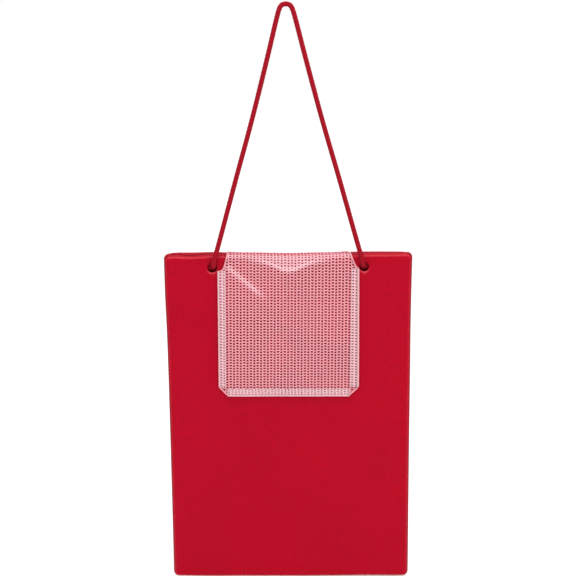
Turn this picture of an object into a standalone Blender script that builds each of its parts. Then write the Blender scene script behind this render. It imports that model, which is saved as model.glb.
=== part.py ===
"""Flat hanging pouch with a net flap.

Two stiffened panels and an edge strip make a slim pouch that is open at the top. A braided cord runs
through two holes in the front lip, is knotted inside, and makes a tall loop that hangs on a hook. A net
flap is sewn to the back, passes over the mouth and lies on the front.

Frame: +Z up, the front faces -Y, +X is to the right as seen from the front. The origin is the point under
the cord's top bend that rests on the hook, and the pouch's middle plane is Y = 0.
"""

from math import cos, pi, sin

import bmesh
import bpy
from mathutils import Matrix, Vector

MM = 0.001
CLEARANCE = 0.3 * MM

# Pouch
WIDTH = 231.5 * MM
DEPTH = 14 * MM
BACK_LIP_Z = -229 * MM
FRONT_LIP_Z = -229.5 * MM
BOTTOM_Z = -552 * MM
CORNER_RADIUS = 4 * MM
SHEET = 0.8 * MM
STIFFENER = 0.6 * MM
LINING = 0.4 * MM
FACING_HEIGHT = 25 * MM
STIFFENER_INSET = 2.5 * MM
LINING_INSET = 1.4 * MM
THREAD_RADIUS = 0.3 * MM

# Cord
CORD_DIAMETER = 4 * MM
HOLE_DIAMETER = 9 * MM
HOLE_X = 72 * MM
HOLE_Z = -241.5 * MM
KNOT_LENGTH = 12 * MM
KNOT_DIAMETER = 7.6 * MM
CORD_STEP = 8 * MM

# Net flap
NET = 0.8 * MM
FLAP_HALF_WIDTH = 67.5 * MM
FLAP_BOTTOM_Z = -367 * MM
FLAP_SHOULDER_Z = -243.5 * MM
FLAP_CHAMFER = 8.7 * MM
NECK_BACK_X = (-58 * MM, 57.5 * MM)
NECK_FOLD_X = (-58.5 * MM, 59 * MM)
LEFT_CUT = ((-61 * MM, -237.5 * MM), (-63 * MM, -242 * MM), (-65 * MM, -243.3 * MM))
RIGHT_CUT = ((61 * MM, -233.7 * MM), (64.3 * MM, -240.7 * MM), (66.4 * MM, -242.6 * MM))
ANCHOR_HEIGHT = 28 * MM
SIDE_HEM = 7 * MM
BOTTOM_HEM = 7.6 * MM
HEM_LAYER = 0.5 * MM
HEM_STITCH_INSET = 1 * MM

# Faces that the sub-parts share
FRONT_Y = -DEPTH / 2
SHEET_INNER_Y = DEPTH / 2 - SHEET
STIFFENER_OUTER_Y = SHEET_INNER_Y - CLEARANCE
LINING_OUTER_Y = STIFFENER_OUTER_Y - STIFFENER - CLEARANCE
NECK_BOTTOM_Z = BACK_LIP_Z + CLEARANCE
NET_BACK_Y = FRONT_Y - CLEARANCE
NET_FRONT_Y = NET_BACK_Y - NET

RED = (0.47, 0.004, 0.018)
DARK_RED = (0.36, 0.012, 0.022)
BOARD_GREY = (0.45, 0.43, 0.40)
NET_WHITE = (0.86, 0.80, 0.80)


def clear_scene():
    for obj in list(bpy.data.objects):
        bpy.data.objects.remove(obj, do_unlink=True)


def material(name, colour, roughness):
    made = bpy.data.materials.new(name)
    made.use_nodes = True
    shader = made.node_tree.nodes["Principled BSDF"]
    shader.inputs["Base Color"].default_value = (*colour, 1.0)
    shader.inputs["Roughness"].default_value = roughness
    shader.inputs["Metallic"].default_value = 0.0
    return made


def empty(name, location, parent=None):
    made = bpy.data.objects.new(name, None)
    bpy.context.scene.collection.objects.link(made)
    made.empty_display_size = 0.02
    made.parent = parent
    made.location = location if parent is None else Vector(location) - parent.matrix_world.translation
    bpy.context.view_layer.update()
    return made


def add_mesh(name, bm, finish, parent):
    """The bmesh, in world coordinates, as an object whose origin is its parent's."""
    bmesh.ops.recalc_face_normals(bm, faces=bm.faces[:])
    mesh = bpy.data.meshes.new(name)
    bm.to_mesh(mesh)
    bm.free()
    if parent is not None:
        mesh.transform(parent.matrix_world.inverted())
    mesh.materials.append(finish)
    obj = bpy.data.objects.new(name, mesh)
    bpy.context.scene.collection.objects.link(obj)
    obj.parent = parent
    return obj


def arc(centre, radius, start, end, steps=5):
    """Points on an arc in the XZ plane, from start to end in radians."""
    turns = [start + (end - start) * i / steps for i in range(steps + 1)]
    return [(centre[0] + radius * cos(a), centre[1] + radius * sin(a)) for a in turns]


def rounded_rectangle(half_width, top, bottom, radius):
    x = half_width - radius
    return [
        *arc((x, top - radius), radius, 0, pi / 2),
        *arc((-x, top - radius), radius, pi / 2, pi),
        *arc((-x, bottom + radius), radius, pi, 1.5 * pi),
        *arc((x, bottom + radius), radius, 1.5 * pi, 2 * pi),
    ]


def extruded(outline, low, high, axis="Y"):
    """A closed prism: an XZ outline carried along Y, or an XY outline carried along Z."""
    bm = bmesh.new()
    if axis == "Y":
        corners = [bm.verts.new((x, low, z)) for x, z in outline]
        step = (0, high - low, 0)
    else:
        corners = [bm.verts.new((x, y, low)) for x, y in outline]
        step = (0, 0, high - low)
    face = bm.faces.new(corners)
    moved = bmesh.ops.extrude_face_region(bm, geom=[face])["geom"]
    bmesh.ops.translate(bm, vec=step, verts=[v for v in moved if isinstance(v, bmesh.types.BMVert)])
    return bm


def boolean(obj, helper, operation):
    helper.hide_render = True
    helper.display_type = "WIRE"
    modifier = obj.modifiers.new(helper.name, "BOOLEAN")
    modifier.operation = operation
    modifier.solver = "EXACT"
    modifier.object = helper


def cord_hole_cutter(name, x, finish, parent):
    """A cylinder along Y through the front wall, at one of the two cord holes."""
    circle = arc((x, HOLE_Z), HOLE_DIAMETER / 2, 0, 2 * pi, steps=24)[:-1]
    return add_mesh(name, extruded(circle, FRONT_Y - 2 * MM, 0), finish, parent)


def outer_sheet(name, lip, side, finish, parent):
    """One outer sheet, with its lip turned in over the stiffener's top. side is -1 at the front and 1 at the back."""
    outline = rounded_rectangle(WIDTH / 2, lip, BOTTOM_Z, CORNER_RADIUS)
    low, high = sorted((side * SHEET_INNER_Y, side * DEPTH / 2))
    sheet = add_mesh(name, extruded(outline, low, high), finish, parent)
    half = WIDTH / 2 - CORNER_RADIUS
    turn = [(-half, lip), (half, lip), (half, lip - SHEET), (-half, lip - SHEET)]
    low, high = sorted((side * (LINING_OUTER_Y - SHEET), side * (SHEET_INNER_Y + SHEET / 2)))
    boolean(sheet, add_mesh(name + "_turned_lip", extruded(turn, low, high), finish, parent), "UNION")
    return sheet


def inner_layers(place, lip, side, board, red, lining, parent):
    """The stiffener, the lip's facing and the lining of one wall."""
    top = lip - SHEET - CLEARANCE
    foot = BOTTOM_Z + SHEET + CLEARANCE
    radius = CORNER_RADIUS - SHEET
    half = WIDTH / 2 - STIFFENER_INSET
    outline = rounded_rectangle(half, top, foot + STIFFENER_INSET, radius)
    layers = [(place + "_stiffener", outline, STIFFENER_OUTER_Y, STIFFENER, board)]

    half = WIDTH / 2 - LINING_INSET
    facing_foot = top - FACING_HEIGHT
    outline = rounded_rectangle(half, top, facing_foot, SHEET)
    layers.append((place + "_lip_facing", outline, LINING_OUTER_Y, SHEET, red))
    outline = rounded_rectangle(half, facing_foot - CLEARANCE, foot, radius)
    layers.append((place + "_lining", outline, LINING_OUTER_Y, LINING, lining))
    made = []
    for name, outline, outer, thick, finish in layers:
        low, high = sorted((side * outer, side * (outer - thick)))
        made.append(add_mesh(name, extruded(outline, low, high), finish, parent))
    return made


def u_path(inset):
    """The pouch's side, bottom and side edges as one path, moved in by inset."""
    x, foot = WIDTH / 2 - CORNER_RADIUS, BOTTOM_Z + CORNER_RADIUS
    radius = CORNER_RADIUS - inset
    top = FRONT_LIP_Z - CORNER_RADIUS
    return [
        (-WIDTH / 2 + inset, top),
        *arc((-x, foot), radius, pi, 1.5 * pi),
        *arc((x, foot), radius, 1.5 * pi, 2 * pi),
        (WIDTH / 2 - inset, top),
    ]


def edge_strip(finish, parent):
    """The slim wall that joins the two panels along both sides and the bottom."""
    outline = u_path(0) + u_path(SHEET)[::-1]
    reach = SHEET_INNER_Y - CLEARANCE
    return add_mesh("edge_strip", extruded(outline, -reach, reach), finish, parent)


def tube(name, points, radius, resolution, finish, parent):
    """A round tube with filled caps along a list of world points."""
    curve = bpy.data.curves.new(name, "CURVE")
    curve.dimensions = "3D"
    curve.bevel_depth = radius
    curve.bevel_resolution = resolution
    curve.use_fill_caps = True
    spline = curve.splines.new("POLY")
    spline.points.add(len(points) - 1)
    shift = parent.matrix_world.translation if parent is not None else Vector()
    for spot, point in zip(spline.points, points, strict=True):
        spot.co = (*(Vector(point) - shift), 1)
    curve.materials.append(finish)
    obj = bpy.data.objects.new(name, curve)
    bpy.context.scene.collection.objects.link(obj)
    obj.parent = parent
    return obj


def seam_thread(name, side, finish, parent):
    """The thread that holds one panel to the edge strip, just inside the seam."""
    inset = SHEET + CLEARANCE + 2 * THREAD_RADIUS
    y = side * (STIFFENER_OUTER_Y - THREAD_RADIUS)
    return tube(name, [(x, y, z) for x, z in u_path(inset)], THREAD_RADIUS, 1, finish, parent)


def right_leg_route():
    """The cord's right half, from its top bend down to the knot behind the front wall."""
    return [
        (0, 0, 2.0),
        (2.8, 0, 1.5),
        (5.0, -0.1, -0.4),
        (6.4, -0.2, -3.4),
        (7.5, -0.3, -7.0),
        (10.2, -0.6, -17.0),
        (18.4, -1.8, -48.4),
        (33.1, -4.0, -103.0),
        (48.5, -6.3, -158.5),
        (65.7, -8.9, -220.0),
        (69.2, -9.4, -231.5),
        (70.9, -9.5, -237.2),
        (71.7, -8.1, -240.7),
        (72.0, -5.6, -242.0),
        (72.0, -4.4, -242.1),
    ]


def smooth_route(points, step):
    """Points about step apart, or closer in a bend, on a Catmull-Rom curve through the given ones."""
    points = [Vector(p) * MM for p in points]
    padded = [2 * points[0] - points[1], *points, 2 * points[-1] - points[-2]]
    found = []
    for before, start, end, after in zip(padded, padded[1:], padded[2:], padded[3:], strict=False):
        count = max(1, round((end - start).length / step))
        for i in range(count):
            t = i / count
            found.append(
                0.5
                * (
                    2 * start
                    + (end - before) * t
                    + (2 * before - 5 * start + 4 * end - after) * t**2
                    + (3 * start - before - 3 * end + after) * t**3
                )
            )
    return [*found, points[-1]]


def hanging_cord(finish, parent):
    right = right_leg_route()
    left = [(-x, y, z) for x, y, z in right[:0:-1]]
    return tube("hanging_cord", smooth_route(left + right, CORD_STEP), CORD_DIAMETER / 2, 2, finish, parent)


def knot(name, x, finish, parent):
    """The stopper knot on one end of the cord: a barrel that lies along the swing axis, behind the front wall."""
    bm = bmesh.new()
    bmesh.ops.create_uvsphere(bm, u_segments=16, v_segments=10, radius=0.5)
    bmesh.ops.scale(bm, vec=(KNOT_DIAMETER, KNOT_DIAMETER, KNOT_LENGTH), verts=bm.verts[:])
    bmesh.ops.rotate(bm, matrix=Matrix.Rotation(pi / 2, 3, "Y"), verts=bm.verts[:])
    bmesh.ops.translate(bm, vec=(x, 0, HOLE_Z), verts=bm.verts[:])
    obj = add_mesh(name, bm, finish, parent)
    obj.data.shade_smooth()
    return obj


def flap_anchor(net, thread, parent):
    """The fixed end of the net, on the outside of the back, and the thread that sews it on."""
    low, high = NECK_BACK_X
    top, foot = BACK_LIP_Z, BACK_LIP_Z - ANCHOR_HEIGHT
    back = DEPTH / 2 + CLEARANCE
    outline = [(low, top), (high, top), (high, foot), (low, foot)]
    add_mesh("flap_anchor", extruded(outline, back, back + NET), net, parent)
    y = back + NET + CLEARANCE + THREAD_RADIUS
    z = foot + BOTTOM_HEM / 2
    tube("anchor_thread", [(low, y, z), (high, y, z)], THREAD_RADIUS, 1, thread, parent)


def flap_neck(net, parent):
    """The stretch of net that bridges the mouth, from the back lip to the fold over the front lip."""
    back, front = DEPTH / 2, NET_FRONT_Y
    outline = [
        (NECK_BACK_X[0], back),
        (NECK_BACK_X[1], back),
        (NECK_FOLD_X[1], front),
        (NECK_FOLD_X[0], front),
    ]
    add_mesh("flap_neck", extruded(outline, NECK_BOTTOM_Z, NECK_BOTTOM_Z + NET, axis="Z"), net, parent)


def flap_front(net, thread, parent):
    """The stretch of net that lies on the front, its three turned hems and their threads."""
    top = NECK_BOTTOM_Z - CLEARANCE
    half, foot, cut = FLAP_HALF_WIDTH, FLAP_BOTTOM_Z, FLAP_CHAMFER
    outline = [
        (NECK_FOLD_X[0], top),
        *LEFT_CUT,
        (-half, FLAP_SHOULDER_Z),
        (-half, foot + cut),
        (-half + cut, foot),
        (half - cut, foot),
        (half, foot + cut),
        (half, FLAP_SHOULDER_Z),
        *reversed(RIGHT_CUT),
        (NECK_FOLD_X[1], top),
    ]
    add_mesh("flap_front", extruded(outline, NET_FRONT_Y, NET_BACK_Y), net, parent)

    hem_back = NET_FRONT_Y - CLEARANCE
    hem_top, hem_foot = FLAP_SHOULDER_Z - HEM_STITCH_INSET, foot + cut
    thread_y = hem_back - HEM_LAYER - CLEARANCE - THREAD_RADIUS
    for name, side in (("left", -1), ("right", 1)):
        outer, inner = side * half, side * (half - SIDE_HEM)
        outline = [(outer, hem_top), (inner, hem_top), (inner, hem_foot), (outer, hem_foot)]
        add_mesh(name + "_hem", extruded(outline, hem_back - HEM_LAYER, hem_back), net, parent)
        line = inner + side * HEM_STITCH_INSET
        points = [(line, thread_y, hem_top), (line, thread_y, hem_foot)]
        tube(name + "_hem_thread", points, THREAD_RADIUS, 1, thread, parent)
    reach = half - cut
    hem_edge = foot + BOTTOM_HEM
    outline = [(-reach, foot), (reach, foot), (reach, hem_edge), (-reach, hem_edge)]
    add_mesh("bottom_hem", extruded(outline, hem_back - HEM_LAYER, hem_back), net, parent)
    line = hem_edge - HEM_STITCH_INSET
    points = [(-reach, thread_y, line), (reach, thread_y, line)]
    tube("bottom_hem_thread", points, THREAD_RADIUS, 1, thread, parent)


def main():
    clear_scene()
    red = material("red_coated_fabric", RED, 0.45)
    cord = material("red_braided_cord", DARK_RED, 0.7)
    board = material("stiffener_board", BOARD_GREY, 0.9)
    lining = material("red_lining", DARK_RED, 0.8)
    net = material("white_net", NET_WHITE, 0.4)
    thread = material("white_thread", NET_WHITE, 0.7)
    red_thread = material("red_thread", DARK_RED, 0.7)

    hook_point = empty("hook_point", (0, 0, 0))
    swing_axis = empty("swing_axis", (0, 0, HOLE_Z), hook_point)
    neck_hinge = empty("neck_hinge", (0, DEPTH / 2, NECK_BOTTOM_Z), swing_axis)
    fold_hinge = empty("fold_hinge", (0, NET_FRONT_Y, NECK_BOTTOM_Z), neck_hinge)

    hanging_cord(cord, hook_point)
    knot("left_cord_knot", -HOLE_X, cord, hook_point)
    knot("right_cord_knot", HOLE_X, cord, hook_point)

    front = outer_sheet("front_panel", FRONT_LIP_Z, -1, red, swing_axis)
    outer_sheet("back_panel", BACK_LIP_Z, 1, red, swing_axis)
    stiffener, facing, _ = inner_layers("front", FRONT_LIP_Z, -1, board, red, lining, swing_axis)
    inner_layers("back", BACK_LIP_Z, 1, board, red, lining, swing_axis)
    for name, x in (("left_hole_cutter", -HOLE_X), ("right_hole_cutter", HOLE_X)):
        cutter = cord_hole_cutter(name, x, red, swing_axis)
        for layer in (front, stiffener, facing):
            boolean(layer, cutter, "DIFFERENCE")
    edge_strip(red, swing_axis)
    seam_thread("front_seam_thread", -1, red_thread, swing_axis)
    seam_thread("back_seam_thread", 1, red_thread, swing_axis)

    flap_anchor(net, thread, swing_axis)
    flap_neck(net, neck_hinge)
    flap_front(net, thread, fold_hinge)


main()
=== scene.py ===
"""Flat hanging pouch with a net flap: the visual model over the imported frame."""

from math import atan2, cos, inf, pi, radians, sin

import bmesh
import bpy
import numpy as np
from mathutils import Matrix, Vector


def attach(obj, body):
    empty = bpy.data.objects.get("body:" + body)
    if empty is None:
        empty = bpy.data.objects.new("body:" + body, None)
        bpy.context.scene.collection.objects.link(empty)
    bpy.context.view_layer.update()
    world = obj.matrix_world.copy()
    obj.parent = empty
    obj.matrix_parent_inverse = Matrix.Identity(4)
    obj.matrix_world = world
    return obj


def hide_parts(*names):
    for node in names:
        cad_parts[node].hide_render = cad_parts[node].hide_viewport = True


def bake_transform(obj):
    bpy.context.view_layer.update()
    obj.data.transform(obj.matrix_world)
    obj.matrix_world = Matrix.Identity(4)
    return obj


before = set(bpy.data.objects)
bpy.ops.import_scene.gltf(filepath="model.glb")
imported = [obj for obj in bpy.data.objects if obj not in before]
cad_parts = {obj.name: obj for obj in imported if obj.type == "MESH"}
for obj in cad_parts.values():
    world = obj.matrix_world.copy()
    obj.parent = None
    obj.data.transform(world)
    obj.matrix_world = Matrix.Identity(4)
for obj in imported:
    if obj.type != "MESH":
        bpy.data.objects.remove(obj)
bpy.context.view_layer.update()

MM = 0.001

# Camera, in metres and degrees
CAMERA_PLACE = (-0.0004, -1.1836, -0.04074)
LOOKS_DOWN = 10.62
CAMERA_ROLL = -0.475
LENS = 78.875

# Pouch, in millimetres, as in the CAD
HALF_WIDTH = 115.0
HALF_DEPTH = 7.0
BOTTOM_Z = -552.0
BACK_CREST_Z = -228.7
FRONT_CREST_Z = -229.3
CORNER_RADIUS = 4.6
EDGE_RADIUS = 4.0
LIP_RADIUS = 4.0
LIP_INNER_RADIUS = 1.0
SHEET = 0.8
HOLE_X = 72.0
HOLE_Z = -241.5
HOLE_RADIUS = 4.5
RIM_RADIUS = 5.4
PATCH = 6.0
STEP = 1.5
# (way in from the hole's edge, depth) of each ring of a hole's rim
RIM_STEPS = ((0.25, 0.06), (0.5, 0.2), (0.72, 0.45), (0.86, 0.85), (0.95, 1.4), (1.0, 2.4))
# (way down, way back) of the turned-in lip below its roll
LIP_TUCK = ((3.0, 0.0), (6.5, 0.7), (9.5, 2.2))
SEAM_STEP = 3.6

# Cord
CORD_RADIUS = 2.0
STRANDS = 4
BRAID_PITCH = 4.0
CORD_PULL = (1.2, 1.7)

# Net
FLAP_HALF_WIDTH = 66.3
FLAP_BOTTOM_Z = -366.7
FLAP_CHAMFER = 7.6
CHAMFER_WIDE = {-1: 8.3, 1: 7.0}
CORNER_REACH = 14
COLUMNS = 41
PITCH_X = 2 * FLAP_HALF_WIDTH / COLUMNS
ROW_PITCH = ((0, 2.96), (26, 2.91), (52, 2.79), (100, 2.75), (125, 2.65), (160, 2.62))
NET_GAP = 0.8
MOUTH_DIP_Z = -231.0
FIRST_ROW = 4.65
HEM_HOLE_PART = 0.8
NET_THICK = 0.65
NECK_SIDES = (-58.0, 57.3)
NECK_RUN = 12.0
ANCHOR_RUN = 34.0
CELL_RISE = 0.22
HEM_TOP_Z = {-1: -245.0, 1: -242.4}
HEM_LIFT = 0.75
HEM_ROW = 2.75
STITCH_STEP = PITCH_X * 0.9
# the net's way out of the mouth on each side: (y, rise from its dip), then (y, drop from the crest) twice
MOUTH_RISE = {-1: ((0.9, 0.3), (1.7, 0.95), (2.4, 0.15)), 1: ((0.9, 0.4), (1.7, 1.25), (2.3, 0.35))}
# how many 2 mm steps the net's run goes down on each side
NET_FALL = {-1: 75, 1: 19}


# ---------------------------------------------------------------- camera, light and floor
def make_camera():
    data = bpy.data.cameras.new("camera")
    data.sensor_width = 36.0
    data.lens = LENS
    data.clip_start, data.clip_end = 0.01, 50
    cam = bpy.data.objects.new("camera", data)
    bpy.context.scene.collection.objects.link(cam)
    cam.rotation_mode = "XYZ"
    turn = Matrix.Rotation(radians(90 - LOOKS_DOWN), 4, "X") @ Matrix.Rotation(radians(CAMERA_ROLL), 4, "Z")
    cam.matrix_world = Matrix.Translation(CAMERA_PLACE) @ turn
    bpy.context.scene.camera = cam


def area_light(name, place, target, size, power):
    data = bpy.data.lights.new(name, "AREA")
    data.shape = "RECTANGLE"
    data.size, data.size_y = size
    data.energy = power
    obj = bpy.data.objects.new(name, data)
    bpy.context.scene.collection.objects.link(obj)
    obj.location = place
    obj.rotation_euler = (Vector(target) - Vector(place)).to_track_quat("-Z", "Y").to_euler()


def make_studio():
    scene = bpy.context.scene
    scene.view_settings.view_transform = "Standard"
    world = bpy.data.worlds.new("studio")
    world.use_nodes = True
    background = world.node_tree.nodes["Background"]
    background.inputs["Color"].default_value = (1, 1, 1, 1)
    background.inputs["Strength"].default_value = 1.0
    scene.world = world
    area_light("key", (1.3, -1.3, 0.6), (0, 0, -0.35), (0.7, 0.9), 5)
    area_light("top", (0.1, -0.45, 1.0), (0, 0, -0.25), (1.4, 0.5), 10)

    mesh = bpy.data.meshes.new("floor")
    bm = bmesh.new()
    bmesh.ops.create_circle(bm, cap_ends=True, segments=96, radius=14)
    bm.to_mesh(mesh)
    bm.free()
    floor = bpy.data.objects.new("floor", mesh)
    floor.location = (0, 0, (BOTTOM_Z - 4.5) * MM)
    scene.collection.objects.link(floor)
    made, _, shader = new_material("floor_white", (0.86, 0.86, 0.86), 0.6)
    shader.inputs["Emission Color"].default_value = (1, 1, 1, 1)
    shader.inputs["Emission Strength"].default_value = 0.22
    shader.inputs["Specular IOR Level"].default_value = 0.1
    mesh.materials.append(made)


# ---------------------------------------------------------------- materials
def new_material(name, colour, roughness):
    """A material, its node tree and its shader."""
    made = bpy.data.materials.new(name)
    made.use_nodes = True
    shader = made.node_tree.nodes["Principled BSDF"]
    shader.inputs["Base Color"].default_value = (*colour, 1)
    shader.inputs["Roughness"].default_value = roughness
    return made, made.node_tree, shader


def feed(tree, slot, value):
    """Links an output into an input, or sets a constant on it."""
    if hasattr(value, "is_output"):
        tree.links.new(value, slot)
    else:
        slot.default_value = value


def node(tree, kind, **inputs):
    made = tree.nodes.new(kind)
    for key, value in inputs.items():
        slot = int(key[1:]) if key[0] == "i" and key[1:].isdigit() else key.replace("_", " ")
        feed(tree, made.inputs[slot], value)
    return made


def noise(tree, place, scale, **inputs):
    return node(tree, "ShaderNodeTexNoise", Vector=place, Scale=scale, **inputs).outputs["Fac"]


def object_place(tree):
    return node(tree, "ShaderNodeTexCoord").outputs["Object"]


def mesh_value(tree, name, output="Fac"):
    """A value kept on the mesh's points."""
    made = tree.nodes.new("ShaderNodeAttribute")
    made.attribute_name = name
    return made.outputs[output]


def mix_colours(tree, factor, a, b, kind="MIX"):
    made = tree.nodes.new("ShaderNodeMix")
    made.data_type, made.blend_type = "RGBA", kind
    for slot, value in (("Factor", factor), ("A", a), ("B", b)):
        feed(tree, made.inputs[slot], value)
    return made.outputs["Result"]


def combine(tree, operation, a, b):
    made = node(tree, "ShaderNodeMath", i0=a, i1=b)
    made.operation = operation
    return made.outputs[0]


def add_bump(tree, shader, strength, distance, height):
    bump = node(tree, "ShaderNodeBump", Strength=strength, Distance=distance, Height=height)
    tree.links.new(bump.outputs["Normal"], shader.inputs["Normal"])


def ramp(tree, value, stops):
    made = tree.nodes.new("ShaderNodeValToRGB")
    tree.links.new(value, made.inputs["Fac"])
    elements = made.color_ramp.elements
    while len(elements) < len(stops):
        elements.new(0.5)
    for element, (place, colour) in zip(elements, stops, strict=True):
        element.position = place
        element.color = (*colour, 1)
    return made.outputs["Color"]


def grey(value):
    return (value, value, value)


def scaled(colour, amount):
    return tuple(min(1, c * amount) for c in colour)


def coated_fabric(name, colour, highlight_colour):
    """Smooth coated fabric: a fine pebbled grain, faint mottling, a painted highlight along its rounded edges, and
    darker seams with painted shade along the sides.
    """
    made, tree, shader = new_material(name, colour, 0.42)
    place = object_place(tree)
    grain = node(tree, "ShaderNodeTexVoronoi", Vector=place, Scale=1500.0).outputs["Distance"]
    speckle = noise(tree, place, 420.0, Detail=3.0, Roughness=0.6)
    cloud = noise(tree, place, 16.0, Detail=2.0)

    speckled = ramp(tree, speckle, ((0.32, scaled(colour, 0.90)), (0.68, scaled(colour, 1.10))))
    clouds = ramp(tree, cloud, ((0.3, grey(0.78)), (0.7, grey(1.0))))
    cloudy = mix_colours(tree, 0.22, speckled, clouds, "MULTIPLY")
    # The edge value on the mesh is a painted highlight: a paler line along the rolled lips, the rounded edges and
    # the holes' lower rims, where the top light would catch them.
    painted_highlight = combine(tree, "MULTIPLY", mesh_value(tree, "edge"), speckle)
    highlighted = mix_colours(tree, painted_highlight, cloudy, (*highlight_colour, 1))
    # This darkens the outline: a dark seam, and painted shade on the rounded sides and over the whole edge strip.
    shaded = mix_colours(tree, mesh_value(tree, "seam_and_shade"), highlighted, (*scaled(colour, 0.55), 1))
    tree.links.new(shaded, shader.inputs["Base Color"])

    rough = ramp(tree, speckle, ((0.3, grey(0.38)), (0.7, grey(0.5))))
    tree.links.new(rough, shader.inputs["Roughness"])
    add_bump(tree, shader, 0.35, 0.00012, combine(tree, "ADD", grain, speckle))
    shader.inputs["Specular IOR Level"].default_value = 0.06
    return made


def woven(name, colour, scale, roughness=0.85):
    """Plain weave: crossing yarns from two wave patterns, for lining and thread."""
    made, tree, shader = new_material(name, colour, roughness)
    place = object_place(tree)
    across = node(tree, "ShaderNodeTexWave", Vector=place, Scale=scale)
    along = node(tree, "ShaderNodeTexWave", Vector=place, Scale=scale)
    across.bands_direction, along.bands_direction = "X", "Z"
    yarn = combine(tree, "MAXIMUM", across.outputs["Fac"], along.outputs["Fac"])
    shade = ramp(tree, yarn, ((0.3, scaled(colour, 0.6)), (0.9, colour)))
    tree.links.new(shade, shader.inputs["Base Color"])
    add_bump(tree, shader, 0.5, 0.0002, yarn)
    return made


def fibreboard(name):
    made, tree, shader = new_material(name, (0.45, 0.43, 0.40), 0.9)
    fibre = noise(tree, object_place(tree), 260.0, Detail=6.0, Distortion=1.2)
    colour = ramp(tree, fibre, ((0.3, (0.33, 0.31, 0.28)), (0.7, (0.52, 0.50, 0.46))))
    tree.links.new(colour, shader.inputs["Base Color"])
    add_bump(tree, shader, 0.4, 0.0002, fibre)
    return made


def braided(name, colour):
    """Fine fibres along each strand, from the strand coordinates kept on the mesh."""
    made, tree, shader = new_material(name, colour, 0.72)
    shader.inputs["Specular IOR Level"].default_value = 0.06
    strand = mesh_value(tree, "strand", "Vector")
    raised = node(tree, "ShaderNodeSeparateXYZ", Vector=strand).outputs["Z"]
    fuzz = noise(tree, object_place(tree), 1500.0, Detail=3.0)
    fibre = noise(tree, strand, 6.0, Detail=3.0)
    light = tuple(min(1, c * 1.25 + 0.003) for c in colour)
    # Painted shade: each strand is darker where it sinks under its neighbours.
    base = ramp(tree, raised, ((0.15, scaled(colour, 0.35)), (0.75, colour)))
    fibres = ramp(tree, fuzz, ((0.35, colour), (0.7, light)))
    tree.links.new(mix_colours(tree, 0.4, base, fibres), shader.inputs["Base Color"])
    add_bump(tree, shader, 0.5, 0.00015, combine(tree, "ADD", fibre, fuzz))
    shader.inputs["Sheen Weight"].default_value = 0.02
    shader.inputs["Sheen Roughness"].default_value = 0.5
    return made


def net_film(name, colour, pale, alpha):
    """Coated net yarn: translucent, with a fine uneven gloss, and a painted highlight along its folds."""
    made, tree, shader = new_material(name, colour, 0.34)
    yarn = noise(tree, object_place(tree), 900.0, Detail=3.0)
    flat = ramp(tree, yarn, ((0.3, scaled(colour, 0.9)), (0.7, colour)))
    # Painted highlight: the paler colour along the net's folds and its turn over the lip, where the top light
    # catches them.
    folded = mix_colours(tree, mesh_value(tree, "fold"), flat, (*pale, 1))
    tree.links.new(folded, shader.inputs["Base Color"])
    gloss = ramp(tree, yarn, ((0.3, grey(0.28)), (0.7, grey(0.42))))
    tree.links.new(gloss, shader.inputs["Roughness"])
    add_bump(tree, shader, 0.3, 0.0001, yarn)
    shader.inputs["Alpha"].default_value = alpha
    return made


# ---------------------------------------------------------------- mesh helpers
def mesh_object(name, points, faces, finish):
    """An object from points in millimetres."""
    mesh = bpy.data.meshes.new(name)
    places = [tuple(float(c) * MM for c in p) for p in points]
    mesh.from_pydata(places, [], [tuple(map(int, f)) for f in faces])
    mesh.materials.append(finish)
    mesh.shade_smooth()
    obj = bpy.data.objects.new(name, mesh)
    bpy.context.scene.collection.objects.link(obj)
    return obj


def point_attribute(obj, name, values):
    """Keeps one number or one vector on each point."""
    values = np.asarray(values, dtype=np.float32)
    kind, field = ("FLOAT", "value") if values.ndim == 1 else ("FLOAT_VECTOR", "vector")
    obj.data.attributes.new(name, kind, "POINT").data.foreach_set(field, values.ravel())


def fix_normals(obj):
    bm = bmesh.new()
    bm.from_mesh(obj.data)
    bmesh.ops.recalc_face_normals(bm, faces=bm.faces[:])
    bm.to_mesh(obj.data)
    bm.free()


def thicken(obj, amount):
    """Gives an open sheet its thickness, inwards from its face."""
    made = obj.modifiers.new("thickness", "SOLIDIFY")
    made.thickness, made.offset = amount * MM, -1


def shifted(faces, start):
    return [tuple(k + start for k in face) for face in faces]


def strip_quads(rows, columns):
    """The quads of a grid of points, kept row by row."""
    return [
        (r * columns + i, r * columns + i + 1, (r + 1) * columns + i + 1, (r + 1) * columns + i)
        for r in range(rows - 1)
        for i in range(columns - 1)
    ]


def smoothstep(value):
    value = np.clip(value, 0, 1)
    return value * value * (3 - 2 * value)


def spline(stops, value):
    """A smooth curve through (place, height) stops, level at both ends."""
    places, heights = np.array(stops, dtype=float).T
    slopes = np.gradient(heights, places)
    slopes[0] = slopes[-1] = 0
    value = np.clip(value, places[0], places[-1])
    i = np.clip(np.searchsorted(places, value, side="right") - 1, 0, len(places) - 2)
    width = places[i + 1] - places[i]
    t = (value - places[i]) / width
    return (
        (2 * t**3 - 3 * t**2 + 1) * heights[i]
        + (t**3 - 2 * t**2 + t) * width * slopes[i]
        + (3 * t**2 - 2 * t**3) * heights[i + 1]
        + (t**3 - t**2) * width * slopes[i + 1]
    )


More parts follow.
